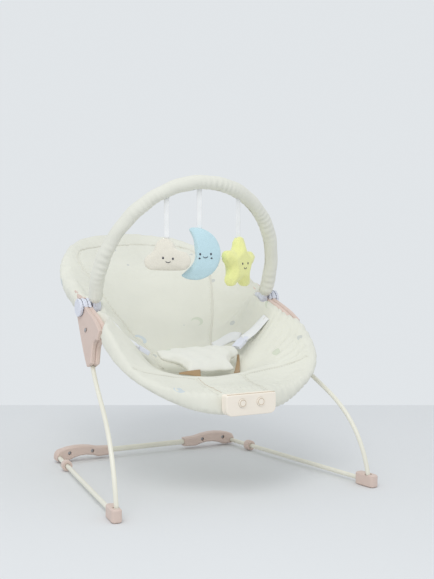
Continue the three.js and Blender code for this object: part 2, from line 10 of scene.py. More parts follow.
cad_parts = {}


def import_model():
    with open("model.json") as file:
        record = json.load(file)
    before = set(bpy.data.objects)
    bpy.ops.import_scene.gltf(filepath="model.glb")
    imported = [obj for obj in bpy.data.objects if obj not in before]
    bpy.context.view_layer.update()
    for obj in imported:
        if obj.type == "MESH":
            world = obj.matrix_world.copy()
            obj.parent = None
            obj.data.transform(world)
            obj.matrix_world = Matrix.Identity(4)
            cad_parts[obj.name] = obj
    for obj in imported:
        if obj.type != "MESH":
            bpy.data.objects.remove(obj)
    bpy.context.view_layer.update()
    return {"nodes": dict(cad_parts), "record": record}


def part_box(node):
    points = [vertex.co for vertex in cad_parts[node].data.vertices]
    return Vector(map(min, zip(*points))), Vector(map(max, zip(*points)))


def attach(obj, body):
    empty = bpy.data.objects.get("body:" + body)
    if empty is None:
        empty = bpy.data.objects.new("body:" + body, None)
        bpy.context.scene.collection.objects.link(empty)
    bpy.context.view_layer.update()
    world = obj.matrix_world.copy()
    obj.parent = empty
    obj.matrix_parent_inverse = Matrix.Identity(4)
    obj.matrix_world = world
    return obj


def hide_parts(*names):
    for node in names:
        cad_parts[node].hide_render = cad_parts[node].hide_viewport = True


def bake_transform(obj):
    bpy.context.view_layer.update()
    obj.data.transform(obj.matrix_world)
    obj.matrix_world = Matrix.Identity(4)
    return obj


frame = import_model()
NODES = frame["nodes"]
SIDES = (("left", -1), ("right", 1))
Y0 = 0.2424  # the front feet stand this far in front of the frame's origin

# ------------------------------------------------------------------ camera
# Pose and lens as fitted to the photo.
AZIMUTH, ELEVATION, DISTANCE = math.radians(-27.215), math.radians(4.557), 1.80663
AIM = Vector((-0.05097, -0.2424, 0.34514))
LENS = 71.18
BACK = Vector((math.sin(AZIMUTH) * math.cos(ELEVATION), -math.cos(AZIMUTH) * math.cos(ELEVATION),
               math.sin(ELEVATION)))
camera_data = bpy.data.cameras.new("camera")
camera_data.lens = LENS
camera = bpy.data.objects.new("camera", camera_data)
bpy.context.scene.collection.objects.link(camera)
camera.location = AIM + DISTANCE * BACK
camera.rotation_euler = BACK.to_track_quat("Z", "Y").to_euler()
bpy.context.scene.camera = camera
bpy.context.scene.view_settings.view_transform = "Standard"


# ------------------------------------------------------------------ helpers
def world(x, y, z):
    """Metres in the frame, from millimetres measured from the front feet."""
    return Vector((x / 1000, y / 1000 - Y0, z / 1000))


def smooth_step(a, b, x):
    """0 below a, 1 above b, easing between them."""
    t = np.clip((np.asarray(x, float) - a) / (b - a), 0, 1)
    return t * t * (3 - 2 * t)


def band(x, start, full, fade, end):
    """1 from full to fade, easing to 0 at start and end."""
    return smooth_step(start, full, x) * (1 - smooth_step(fade, end, x))


def bump(x, centre, width):
    """Bell curve of height 1."""
    return np.exp(-((x - centre) / width) ** 2)


def mesh_object(name, verts, faces, material, uvs=None):
    mesh = bpy.data.meshes.new(name)
    mesh.from_pydata([tuple(v) for v in verts], [], faces)
    mesh.polygons.foreach_set("use_smooth", [True] * len(mesh.polygons))
    if uvs is not None:
        layer = mesh.uv_layers.new(name="cloth")
        index = np.empty(len(mesh.loops), int)
        mesh.loops.foreach_get("vertex_index", index)
        layer.data.foreach_set("uv", np.asarray(uvs, np.float32)[index].ravel())
    mesh.update()
    obj = bpy.data.objects.new(name, mesh)
    bpy.context.scene.collection.objects.link(obj)
    obj.data.materials.append(material)
    return obj


def curve_points(points, count, closed=False):
    """Catmull-Rom curve through the points, evenly spaced."""
    p = np.array([tuple(q) for q in points], float)
    n = len(p)
    dense = []
    for i in range(n if closed else n - 1):
        a, b = p[i], p[(i + 1) % n]
        before = p[i - 1] if closed or i else 2 * a - b
        after = p[(i + 2) % n] if closed or i + 2 < n else 2 * b - a
        for t in np.linspace(0, 1, 24, endpoint=False):
            dense.append(0.5 * (2 * a + (b - before) * t + (2 * before - 5 * a + 4 * b - after) * t ** 2
                                + (3 * a - before - 3 * b + after) * t ** 3))
    dense.append(p[0] if closed else p[-1])
    dense = np.array(dense)
    length = np.r_[0, np.cumsum(np.linalg.norm(np.diff(dense, axis=0), axis=1))]
    at = np.linspace(0, length[-1], count, endpoint=not closed)
    return np.stack([np.interp(at, length, dense[:, k]) for k in range(3)], 1), length[-1]


def sweep(name, path, radius, material, sides, closed=False, up=(0, 0, 1)):
    """Tube along a path; radius is a number, or a function of (t, angle)."""
    path = np.asarray([tuple(p) for p in path], float)
    n = len(path)
    verts, faces, uvs = [], [], []
    run = 0.0
    for i in range(n):
        ahead = path[(i + 1) % n] if closed else path[min(i + 1, n - 1)]
        behind = path[i - 1] if closed or i else path[0]
        t = Vector(ahead - behind).normalized()
        side = t.cross(Vector(up))
        side = side.normalized() if side.length > 1e-4 else Vector((1, 0, 0))
        top = side.cross(t).normalized()
        run += float(np.linalg.norm(path[i] - path[i - 1])) if i else 0.0
        for k in range(sides):
            a = 2 * math.pi * k / sides
            r = radius(i / (n - 1), a) if callable(radius) else radius
            verts.append(Vector(path[i]) + side * (r * math.cos(a)) + top * (r * math.sin(a)))
            uvs.append((run, 0.01 * k))
    for i in range(n if closed else n - 1):
        for k in range(sides):
            a, b = i * sides, ((i + 1) % n) * sides
            faces.append((a + k, a + (k + 1) % sides, b + (k + 1) % sides, b + k))
    if not closed:
        faces.append(tuple(range(sides))[::-1])
        faces.append(tuple((n - 1) * sides + k for k in range(sides)))
    obj = mesh_object(name, verts, faces, material, uvs)
    fix_normals(obj)
    return obj


# Outline of a strap's section: across in half widths, and through in thicknesses.
STRAP_SECTION = [(-1, 0), (-0.94, 0.5), (-0.5, 0.5), (0, 0.5), (0.5, 0.5), (0.94, 0.5), (1, 0),
                 (0.94, -0.5), (0.5, -0.5), (0, -0.5), (-0.5, -0.5), (-0.94, -0.5)]


def strap(name, path, widths, normals, thickness, material):
    """Flat strip along a path; widths and normals are given at its two ends."""
    path = [Vector(tuple(p)) for p in path]
    n = len(path)
    verts, faces, uvs = [], [], []
    for i, p in enumerate(path):
        t = (path[min(i + 1, n - 1)] - path[max(i - 1, 0)]).normalized()
        f = i / (n - 1)
        normal = Vector(normals[0]).lerp(Vector(normals[-1]), f)
        across = t.cross(normal).normalized()
        normal = across.cross(t).normalized()
        w = widths[0] + (widths[-1] - widths[0]) * f
        for a, b in STRAP_SECTION:
            verts.append(p + across * (a * w / 2) + normal * (b * thickness))
            uvs.append((a * w / 2, (path[0] - p).length))
    m = len(STRAP_SECTION)
    for i in range(n - 1):
        for k in range(m):
            faces.append((i * m + k, i * m + (k + 1) % m, (i + 1) * m + (k + 1) % m, (i + 1) * m + k))
    faces.append(tuple(range(m))[::-1])
    faces.append(tuple((n - 1) * m + k for k in range(m)))
    obj = mesh_object(name, verts, faces, material, uvs)
    fix_normals(obj)
    return obj


def fix_normals(obj):
    bm = bmesh.new()
    bm.from_mesh(obj.data)
    bmesh.ops.recalc_face_normals(bm, faces=bm.faces)
    bm.to_mesh(obj.data)
    bm.free()


def modifier(obj, kind, **values):
    m = obj.modifiers.new(kind.lower(), kind)
    for key, value in values.items():
        setattr(m, key, value)
    return m


def apply_all(obj):
    graph = bpy.context.evaluated_depsgraph_get()
    mesh = bpy.data.meshes.new_from_object(obj.evaluated_get(graph), depsgraph=graph)
    old = obj.data
    obj.modifiers.clear()
    obj.data = mesh
    bpy.data.meshes.remove(old)


def coordinates(obj):
    co = np.empty(len(obj.data.vertices) * 3)
    obj.data.vertices.foreach_get("co", co)
    return co.reshape(-1, 3)


def set_coordinates(obj, co):
    obj.data.vertices.foreach_set("co", np.asarray(co, float).ravel())
    obj.data.update()


CLOTH_FRAMES = 20


def inflate(source, name, material, voxel=0.004, shrink=0.001, pressure=4.0, cap=0.007, rounding=4):
    """A stuffed copy of a closed mesh: remeshed, swollen with cloth pressure, then smoothed."""
    obj = bpy.data.objects.new(name, source.copy())
    bpy.context.scene.collection.objects.link(obj)
    obj.data.materials.clear()
    obj.data.materials.append(material)
    modifier(obj, "REMESH", mode="VOXEL", voxel_size=voxel)
    modifier(obj, "SMOOTH", iterations=rounding, factor=0.5)
    apply_all(obj)
    start = coordinates(obj)
    normals = np.empty(len(start) * 3)
    obj.data.vertices.foreach_get("normal", normals)
    start = start - shrink * normals.reshape(-1, 3)
    set_coordinates(obj, start)
    cloth = obj.modifiers.new("cloth", "CLOTH")
    cloth.settings.use_pressure = True
    cloth.settings.uniform_pressure_force = pressure
    cloth.settings.effector_weights.gravity = 0
    cloth.point_cache.frame_start, cloth.point_cache.frame_end = 1, CLOTH_FRAMES
    for f in range(1, CLOTH_FRAMES + 1):
        bpy.context.scene.frame_set(f)
    apply_all(obj)
    bpy.context.scene.frame_set(1)
    moved = coordinates(obj) - start
    size = np.linalg.norm(moved, axis=1, keepdims=True)
    set_coordinates(obj, start + moved * np.minimum(1, cap / np.maximum(size, 1e-9)))
    modifier(obj, "SMOOTH", iterations=2, factor=0.4)
    modifier(obj, "SUBSURF", levels=1, render_levels=1)
    apply_all(obj)
    obj.data.polygons.foreach_set("use_smooth", [True] * len(obj.data.polygons))
    return obj


# ------------------------------------------------------------------ materials
WAVE_LENGTH = 0.314159  # metres from band to band of a wave texture of scale 1
# The cover's print: spots with a bite out of them, as scale, size, colour and seed.
PRINTS = ((9, 0.125, (196, 210, 222), 0.0), (10, 0.11, (204, 212, 190), 3.7),
          (17, 0.09, (192, 196, 196), 8.1))


class Shader:
    """A principled material and short calls for its nodes."""

    def __init__(self, name, roughness, **sockets):
        self.material = bpy.data.materials.new(name)
        self.material.use_nodes = True
        self.tree = self.material.node_tree
        self.bsdf = self.tree.nodes["Principled BSDF"]
        self.bsdf.inputs["Roughness"].default_value = roughness
        for key, value in sockets.items():
            self.bsdf.inputs[key.replace("_", " ")].default_value = value
        self.where = self.add("ShaderNodeTexCoord").outputs["Object"]

    def add(self, kind, **inputs):
        node = self.tree.nodes.new(kind)
        for key, value in inputs.items():
            self.feed(node.inputs[key.replace("_", " ")], value)
        return node

    def feed(self, socket, value):
        if isinstance(value, bpy.types.NodeSocket):
            self.tree.links.new(value, socket)
        else:
            socket.default_value = value

    def noise(self, scale, detail=3.0, roughness=0.5, where=None):
        node = self.add("ShaderNodeTexNoise", Scale=scale, Detail=detail, Roughness=roughness)
        self.feed(node.inputs["Vector"], where or self.where)
        return node.outputs["Fac"]

    def wave(self, axis, period, where):
        node = self.add("ShaderNodeTexWave", Scale=WAVE_LENGTH / period, Distortion=0.6, Detail=1.0)
        node.bands_direction = axis
        self.feed(node.inputs["Vector"], where)
        return node.outputs["Fac"]

    def cells(self, scale, shift):
        """Distance to the nearest of many scattered points, all moved by shift."""
        moved = self.add("ShaderNodeMapping", Location=shift)
        self.feed(moved.inputs["Vector"], self.where)
        cell = self.add("ShaderNodeTexVoronoi", Scale=float(scale), Randomness=0.8)
        self.feed(cell.inputs["Vector"], moved.outputs["Vector"])
        return cell.outputs["Distance"]

    def math(self, operation, a, b):
        node = self.tree.nodes.new("ShaderNodeMath")
        node.operation = operation
        for socket, value in zip(node.inputs, (a, b)):
            self.feed(socket, value)
        return node.outputs[0]

    def ramp(self, value, low, high, a=0.0, b=1.0):
        node = self.add("ShaderNodeMapRange", From_Min=low, From_Max=high, To_Min=a, To_Max=b)
        self.feed(node.inputs["Value"], value)
        return node.outputs["Result"]

    def mix(self, factor, a, b):
        node = self.tree.nodes.new("ShaderNodeMix")
        node.data_type = "RGBA"
        self.feed(node.inputs["Factor"], factor)
        for socket, value in ((node.inputs[6], a), (node.inputs[7], b)):
            self.feed(socket, value if isinstance(value, bpy.types.NodeSocket) else (*value, 1.0))
        return node.outputs[2]

    def finish(self, colour, *bumps):
        self.feed(self.bsdf.inputs["Base Color"], colour)
        normal = None
        for height, strength, distance in bumps:
            bump = self.add("ShaderNodeBump", Strength=strength, Distance=distance)
            self.feed(bump.inputs["Height"], height)
            if normal:
                self.feed(bump.inputs["Normal"], normal)
            normal = bump.outputs["Normal"]
        if normal:
            self.feed(self.bsdf.inputs["Normal"], normal)
        return self.material


def linear(r, g, b):
    """Scene-linear colour of an 8-bit display colour."""
    return tuple((c / 255 / 12.92) if c < 11 else ((c / 255 + 0.055) / 1.055) ** 2.4 for c in (r, g, b))


def scaled(colour, k):
    return tuple(min(1.0, c * k) for c in colour)


def woven(name, colour, period=0.0013, prints=False, shade=0.94, use_uv=False, crease=0.0012):
    """Cotton or webbing; period is the spacing of its threads and crease the depth of its folds."""
    s = Shader(name, 0.88, Sheen_Weight=0.18, Sheen_Roughness=0.5, Specular_IOR_Level=0.2)
    uv = s.add("ShaderNodeUVMap").outputs["UV"] if use_uv else s.where
    warp, weft = s.wave("X", period, uv), s.wave("Y", period, uv)
    weave = s.math("MULTIPLY", warp, weft)
    slub = s.noise(420, 2, 0.6, uv)
    patch = s.noise(7, 3)
    base = s.mix(s.ramp(patch, 0.35, 0.65), colour, scaled(colour, shade))
    # Darker between the threads: painted shade in the weave's hollows.
    base = s.mix(s.math("MULTIPLY", s.math("SUBTRACT", 1.0, weave), 0.08), base, scaled(colour, 0.78))
    if prints:
        for scale, size, tint, seed in PRINTS:
            bitten = s.cells(scale, (seed + 0.004, seed * 0.7 + 0.003, seed * 1.3))
            disc = s.math("LESS_THAN", s.cells(scale, (seed, seed * 0.7, seed * 1.3)), size)
            bite = s.math("GREATER_THAN", bitten, size * 0.8)
            shape = s.math("MULTIPLY", disc, bite)
            base = s.mix(s.math("MULTIPLY", shape, 0.6), base, linear(*tint))
    creases = s.noise(28, 4, 0.55)
    return s.finish(base, (creases, 0.35, crease), (weave, 0.35, 0.0003), (slub, 0.2, 0.0002))


def plush(name, colour):
    s = Shader(name, 0.95, Sheen_Weight=0.35, Sheen_Roughness=0.6, Specular_IOR_Level=0.1)
    pile, tuft, patch = s.noise(900, 3, 0.7), s.noise(160, 2), s.noise(24, 2)
    base = s.mix(s.ramp(pile, 0.3, 0.7), scaled(colour, 0.86), scaled(colour, 1.06))
    base = s.mix(s.ramp(patch, 0.35, 0.7, 0.0, 0.35), base, scaled(colour, 0.88))
    return s.finish(base, (tuft, 0.4, 0.0012), (pile, 0.5, 0.0006))


def moulded(name, colour, roughness=0.42):
    s = Shader(name, roughness, Specular_IOR_Level=0.45)
    patch, fine = s.noise(14, 3), s.noise(1400, 2)
    edge = s.add("ShaderNodeNewGeometry").outputs["Pointiness"]
    base = s.mix(s.ramp(patch, 0.35, 0.65), colour, scaled(colour, 0.95))
    base = s.mix(s.ramp(edge, 0.52, 0.6, 0.0, 0.5), base, scaled(colour, 1.12))
    s.feed(s.bsdf.inputs["Roughness"], s.ramp(patch, 0.3, 0.7, roughness - 0.06, roughness + 0.08))
    return s.finish(base, (fine, 0.12, 0.0003))


def coated(name, colour, roughness=0.38, metallic=0.0):
    s = Shader(name, roughness, Metallic=metallic, Coat_Weight=0.15, Coat_Roughness=0.25)
    patch, orange = s.noise(10, 3), s.noise(700, 2)
    scuff = s.ramp(s.noise(55, 5, 0.75), 0.66, 0.74, 0.0, 0.25)
    base = s.mix(s.ramp(patch, 0.35, 0.65), colour, scaled(colour, 0.94))
    base = s.mix(scuff, base, scaled(colour, 0.8))
    return s.finish(base, (orange, 0.15, 0.0003))


MATERIALS = {
    "wire": coated("cream_powder_coat", linear(240, 237, 222)),
    "rose_plastic": moulded("rose_plastic", linear(220, 199, 188), 0.5),
    "steel": coated("steel", linear(176, 176, 178), 0.3, 1.0),
    "cover_fabric": woven("cover_cotton", linear(234, 233, 221), prints=True, use_uv=True, crease=0.003),
    "webbing": woven("webbing", linear(244, 244, 244), 0.0016, shade=0.97, use_uv=True, crease=0.0003),
    "white_plastic": moulded("white_plastic", linear(228, 230, 240), 0.4),
    "cream_plastic": moulded("cream_plastic", linear(250, 240, 226), 0.45),
    "circuit": moulded("circuit_board", linear(70, 120, 84), 0.5),
    "battery": coated("battery_wrap", linear(150, 158, 168)),
    "cloud_plush": plush("cloud_plush", linear(240, 234, 220)),
    "moon_plush": plush("moon_plush", linear(202, 230, 238)),
    "star_plush": plush("star_plush", linear(246, 246, 168)),
}
LAP_CLOTH = woven("lap_cotton", linear(234, 233, 224), prints=True, shade=0.96)
SLEEVE_CLOTH = woven("sleeve_cotton", linear(234, 233, 222), prints=True, shade=0.96)
PIPING = woven("piping", linear(228, 226, 214), 0.0010, use_uv=True, crease=0.0001)
THREAD = woven("tan_thread", linear(196, 168, 132), 0.0006, crease=0.0001)
# Painted shade for the gaps beside the lap panel.
DARK = woven("opening_shadow", linear(176, 148, 114), 0.0012, crease=0.0004)
FACE_INK = plush("face_thread", linear(74, 74, 84))
# Painted shade for the grooves between the clips' rings.
GROOVE_SHADE = moulded("painted_groove_shade", linear(104, 106, 116), 0.6)

SOFT_SLOTS = ("cover_fabric", "webbing", "cloud_plush", "moon_plush", "star_plush")
FINE_SLOTS = ("steel", "circuit", "battery")
for part in frame["record"]["subparts"]:
    node = NODES[part["node"]]
    slot = part["material_slot"]
    node.data.materials.clear()
    node.data.materials.append(MATERIALS[slot])
    if slot not in SOFT_SLOTS:
        modifier(node, "WELD", merge_threshold=0.00002)
        width = 0.0004 if slot in FINE_SLOTS else 0.0008
        modifier(node, "BEVEL", width=width, segments=2, limit_method="ANGLE", angle_limit=math.radians(38))
        node.data.polygons.foreach_set("use_smooth", [True] * len(node.data.polygons))
        modifier(node, "WEIGHTED_NORMAL", keep_sharp=True)

# ------------------------------------------------------------------ sewn cover
# Tables of (y, value) in millimetres: the rim tube's half width and height, and the cover's middle height.
RIM_HALF_WIDTH = [(2, 0), (7, 45), (20, 79), (37, 114), (57, 143), (78, 163), (98, 174), (116, 180),
                  (150, 184.5), (200, 183), (248, 179), (300, 172), (333, 168), (365, 162), (400, 152),
                  (440, 135), (480, 105), (502, 60), (510, 0)]
RIM_HEIGHT = [(2, 150), (20, 161), (57, 190), (98, 222.5), (146, 260), (248, 303), (510, 409)]
MIDDLE_HEIGHT = [(-12, 176), (30, 181), (88, 183), (140, 178), (190, 182), (240, 207), (300, 255), (420, 352),
                 (505, 405)]
# Padding round the rim tube: above it, outboard on each side, and below it.
PAD_UP = [(3, 27), (7, 25), (20, 18), (37, 12), (57, 10), (78, 12), (98, 14), (116, 15), (150, 16), (185, 15),
          (212, 8), (248, 6), (272, 13), (300, 11), (365, 8), (440, 9), (510, 9)]
PAD_OUT_LEFT = [(3, 8), (57, 8), (98, 7.5), (150, 8), (255, 10), (275, 16), (300, 17), (333, 21), (365, 19),
                (400, 16), (440, 11), (480, 8), (510, 9.5)]
PAD_OUT_RIGHT = [(3, 9), (20, 12), (37, 15), (57, 18), (98, 18), (116, 15), (150, 10), (300, 8), (333, 8),
                 (365, 9), (400, 12), (440, 11), (480, 8), (510, 9.5)]
PAD_DOWN = [(3, 9), (20, 12), (37, 10), (57, 8), (98, 8), (150, 9), (255, 12), (270, 24), (300, 24),
            (365, 24), (440, 24), (480, 18), (510, 12)]
ROUND, TOP, WRAP, UNDER = 640, 26, 10, 14  # points round the rim, across the top, over the edge, underneath
FRONT_SPINE, BACK_SPINE = 110, 400  # the rows gather towards these two ends of the middle line
DISH = 2.4  # how late the cover rises from its middle to the rim
RIDGE_INSET = 2  # the highest line of the edge lies this far inside the rim tube

# Seam lines on the right half, as (x, y) in millimetres.
BACK_SEAM = [(56, 196), (65, 250), (94, 300), (117, 350), (129, 395), (127, 425), (110, 455), (80, 474),
             (40, 484), (0, 487)]
FRONT_SEAM = [(45, 90), (45, 60), (45, 25), (45, 6)]
CREST_SEAM = [(45, 90), (80, 89), (125, 84), (163, 78)]
SEAMS = {}
for side, sign in SIDES:
    for name, line in (("back_seam", BACK_SEAM), ("front_seam", FRONT_SEAM), ("crest_seam", CREST_SEAM)):
        SEAMS[f"{name}_{side}"] = curve_points([(sign * a, b, 0) for a, b in line], 60)[0]


def profile(pairs, y):
    """The table's value at y."""
    return np.interp(y, *zip(*pairs))


def ring_smooth(values, width):
    """Gaussian blur of values round a closed ring."""
    kernel = np.exp(-0.5 * (np.arange(-3 * width, 3 * width + 1) / width) ** 2)
    kernel /= kernel.sum()
    wrapped = np.concatenate([values[-3 * width:], values, values[:3 * width]])
    return np.convolve(wrapped, kernel, "valid")


def noise_at(points, scale, seed):
    moved = points * scale + np.array([seed, -seed, 2 * seed])
    return np.array([noise.noise(Vector(p)) for p in moved])


def crease_at(points, stretch, scale, seed):
    """Sharp-backed creases, running along the axes with a small stretch."""
    return (1 - np.minimum(1, np.abs(noise_at(points * np.array(stretch), scale, seed)) * 4)) ** 2


def distance_to(points, line):
    """Distance in plan from each point to a line of points."""
    best = np.full(len(points), 1e9)
    line = np.asarray(line, float)[:, :2]
    for a, b in zip(line[:-1], line[1:]):
        d = b - a
        t = np.clip(((points - a) @ d) / (d @ d), 0, 1)
        best = np.minimum(best, np.linalg.norm(points - (a + t[:, None] * d), axis=1))
    return best


def rim_stations():
    """The rim tube's course and padding at each step round the cover, and the distance along it."""
    rim = [(w, y, 0) for y, w in RIM_HALF_WIDTH] + [(-w, y, 0) for y, w in RIM_HALF_WIDTH[-2:0:-1]]
    path, length = curve_points(rim, ROUND, closed=True)
    x, y = ring_smooth(path[:, 0], 3), ring_smooth(path[:, 1], 3)
    tangent = np.stack([np.roll(x, -1) - np.roll(x, 1), np.roll(y, -1) - np.roll(y, 1)], 1)
    tangent /= np.linalg.norm(tangent, axis=1, keepdims=True)
    right = smooth_step(-25, 25, x)
    left_bolster = 9 * (1 - right) * band(y, 70, 120, 155, 195)
    down = ring_smooth(profile(PAD_DOWN, y), 8)
    out = ring_smooth(right * profile(PAD_OUT_RIGHT, y) + (1 - right) * profile(PAD_OUT_LEFT, y), 5)
    # The padding draws in where the hubs and the toy bar's clips stand beside it.
    hub, clip = band(y, 140, 165, 250, 263), band(y, 216, 226, 257, 268)
    along = np.arange(ROUND) * length / ROUND
    stations = dict(
        plan=np.stack([x, y], 1),
        height=ring_smooth(profile(RIM_HEIGHT, y), 5),
        outward=np.stack([tangent[:, 1], -tangent[:, 0]], 1),
        right=right,
        up=ring_smooth(profile(PAD_UP, y), 6) + ring_smooth(left_bolster, 6),
        down=down * (1 - hub) + np.minimum(down, 9) * hub,
        out=out * (1 - hub) + np.minimum(out, 6) * hub,
        inset=ring_smooth(15 * hub + 14 * clip, 2),
        gather=np.sin(2 * np.pi * along / 17 + 2.2 * np.sin(along / 41)) * (0.6 + 0.4 * np.sin(along / 63)))
    return stations, along


def cover_row(plan, height, outward, right, up, down, out, inset, gather):
    """Points from the middle line out to the rim, over its edge, and back underneath."""
    y = plan[1]
    spine_y = y
    if y < FRONT_SPINE:
        spine_y = FRONT_SPINE - (FRONT_SPINE - y) * 0.33
    elif y > BACK_SPINE:
        spine_y = BACK_SPINE + (y - BACK_SPINE) * 0.3
    spine = np.array([0.0, spine_y])
    centre = plan - outward * inset
    ridge = centre - outward * RIDGE_INSET
    rise = height + up - profile(MIDDLE_HEIGHT, y)
    s = np.linspace(0, 1, TOP)
    across = spine[None] * (1 - s[:, None]) + ridge[None] * s[:, None]
    top = np.column_stack([across, profile(MIDDLE_HEIGHT, across[:, 1]) + rise * s ** DISH])
    # Padding inside the side walls, fuller on the left; gathers at the rim; the crest across the front.
    fullness = 5 + 8 * (1 - right) * band(y, 70, 110, 215, 250)
    top[:, 2] += fullness * bump(s, 0.78, 0.16) * band(y, 90, 150, 400, 480)
    top[:, 2] += gather * 0.7 * bump(s, 1, 0.16)
    top[:, 2] += 9 * bump(across[:, 1], 96, 20) * (1 - smooth_step(80, 150, np.abs(across[:, 0])))
    row = list(top)
    for a in np.linspace(np.pi / 2, -np.pi / 2, WRAP + 1)[1:]:
        puff = 1 + 0.04 * gather * math.cos(a)
        reach = (out + RIDGE_INSET) * max(math.cos(a), 0.0) ** 0.8 * puff - RIDGE_INSET
        p = centre + outward * reach
        pad = up if a >= 0 else down
        row.append(np.array([p[0], p[1], height + pad * math.copysign(abs(math.sin(a)) ** 0.9, a)]))
    edge = row[-1]
    for s in np.linspace(1, 0, UNDER + 1)[1:]:
        q = spine * (1 - s) + edge[:2] * s
        thick = 11 + 12 * bump(s, 0.75, 0.2) * smooth_step(330, 400, q[1])
        under = profile(MIDDLE_HEIGHT, q[1]) + rise * s ** DISH - thick
        k = smooth_step(0.78, 1.0, s)
        row.append(np.array([q[0], q[1], under * (1 - k) + edge[2] * k]))
    return np.array(row)


def fold_heights(points):
    """How far the folds, hollows and seams of the upper face move each point up or down."""
    x, y = points[:, 0], points[:, 1]
    # Gathers on the right front bolster.
    bolster = band(y, 60, 95, 170, 205) * smooth_step(105, 150, x)
    lift = 1.7 * bolster * np.sin(2 * np.pi * (y * 0.9 - x * 0.25 + 4 * np.sin(x / 11)) / 13)
    # Creases that spread from the toy bar's clips.
    for _, sign in SIDES:
        dx, dy = x - sign * 165, y - 262
        angle, reach = np.arctan2(dy, dx * sign), np.hypot(dx, dy)
        fade = bump(reach, 55, 40) * smooth_step(6, 22, reach)
        lift += 2.1 * fade * np.sin(angle * 13 + 0.05 * reach + sign)
    # Soft unevenness, then sharp creases where the cotton is tight: on the side walls and at both ends.
    lift += 1.6 * noise_at(points, 0.018, 4.0) + 0.8 * noise_at(points, 0.05, 9.0)
    walls = smooth_step(55, 110, np.abs(x)) * smooth_step(150, 200, y)
    ends = 1.5 * (1 - smooth_step(40, 120, y)) + 0.9 * smooth_step(380, 440, y)
    lift += 1.9 * crease_at(points, (1.0, 0.35, 0.6), 0.03, 2.0) * walls
    lift += crease_at(points, (0.4, 1.0, 0.6), 0.035, 6.0) * ends
    lift += 0.9 * (1 - smooth_step(24, 60, y)) * np.sin(2 * np.pi * x / 11 + 2 * np.sin(x / 17))
    # The straps' tongues lie in a hollow pressed into each side wall.
    for sign, depth in ((-1, 13), (1, 8)):
        lift -= depth * bump(distance_to(points[:, :2], [(sign * 84, 188), (sign * 122, 201)]), 0, 15)
    for line in SEAMS.values():
        lift -= 2.6 * bump(distance_to(points[:, :2], line), 0, 3.2)
    return lift


def build_cover():
    """One closed padded hull round the rim tube, in place of the six sewn panels."""
    stations, along = rim_stations()
    grid = np.array([cover_row(**{key: values[i] for key, values in stations.items()}) for i in range(ROUND)])
    count = grid.shape[1]
    flat = grid.reshape(-1, 3)
    on_top = np.tile(np.arange(count), ROUND) < TOP + WRAP * 0.8
    flat[:, 2] += fold_heights(flat) * on_top
    grid = flat.reshape(ROUND, count, 3)
    faces, uvs = [], []
    for i in range(ROUND):
        here, there = i * count, (i + 1) % ROUND * count
        for k in range(count - 1):
            faces.append((here + k, there + k, there + k + 1, here + k + 1))
        across = np.r_[0, np.cumsum(np.linalg.norm(np.diff(grid[i], axis=0), axis=1))]
        uvs += [(along[i] / 1000, a / 1000) for a in across]
    cover = mesh_object("sewn_cover", [world(*p) for p in flat], faces, MATERIALS["cover_fabric"], uvs)
    close_spine(cover)
    return cover


def close_spine(obj):
    """Weld the rows where they meet along the cover's middle."""
    bm = bmesh.new()
    bm.from_mesh(obj.data)
    bmesh.ops.remove_doubles(bm, verts=bm.verts, dist=0.00025)
    bmesh.ops.dissolve_degenerate(bm, dist=0.00001, edges=bm.edges)
    bmesh.ops.recalc_face_normals(bm, faces=bm.faces)
    for f in bm.faces:
        f.smooth = True
    bm.to_mesh(obj.data)
    bm.free()


cover = build_cover()
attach(cover, "seat")
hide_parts("cover_headrest", "cover_back", "cover_seat", "cover_front", "cover_side_left",
            "cover_side_right")
surface = BVHTree.FromObject(cover, bpy.context.evaluated_depsgraph_get())


def on_cover(x, y, lift=0.0):
    """Point and normal on the cover's upper face, in metres, from millimetres; lift stands it off."""
    hit, normal, _, _ = surface.ray_cast(world(x, y, 700), Vector((0, 0, -1)))
    if hit is None:  # outside the cover, so try further in
        return on_cover(x * 0.96, 250 + (y - 250) * 0.98, lift)
    normal = normal if normal.z > 0 else -normal
    return hit + normal * (lift / 1000), normal


for name, line in SEAMS.items():
    radius = 0.002 if name.startswith("back") else 0.0012
    welt = sweep(name, [on_cover(p[0], p[1], -0.3)[0] for p in line], radius, PIPING, 8)
    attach(welt, "seat")


# A stitch swells from its ends: (place along it in lengths, radius in thread radii).
STITCH_SHAPE = ((-0.5, 0.3), (-0.3, 1), (0, 1.2), (0.3, 1), (0.5, 0.3))
STITCH_TURNS = 6
THREAD_RADIUS = 0.00035


def stitches(name, line, count, length, material):
    """A row of short thread stitches along a line of (x, y) on the cover."""
    path, _ = curve_points([(a, b, 0) for a, b in line], count * 2)
    verts, faces = [], []
    for i in range(0, count * 2 - 1, 2):
        a, normal = on_cover(path[i][0], path[i][1], 0.3)
        b, _ = on_cover(path[i + 1][0], path[i + 1][1], 0.3)
        t = (b - a).normalized()
        centre = (a + b) / 2
        across = t.cross(normal).normalized()
        base = len(verts)
        for f, r in STITCH_SHAPE:
            for k in range(STITCH_TURNS):
                w = 2 * math.pi * k / STITCH_TURNS
                verts.append(centre + t * (f * length) + across * (THREAD_RADIUS * r * math.cos(w))
                             + normal * (THREAD_RADIUS * r * math.sin(w)))
        last = base + (len(STITCH_SHAPE) - 1) * STITCH_TURNS
        for p in range(base, last, STITCH_TURNS):
            for k in range(STITCH_TURNS):
                after = (k + 1) % STITCH_TURNS
                faces.append((p + k, p + after, p + STITCH_TURNS + after, p + STITCH_TURNS + k))
        faces.append(tuple(base + k for k in range(STITCH_TURNS)))
        faces.append(tuple(last + k for k in range(STITCH_TURNS)))
    obj = mesh_object(name, verts, faces, material)
    fix_normals(obj)
    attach(obj, "seat")


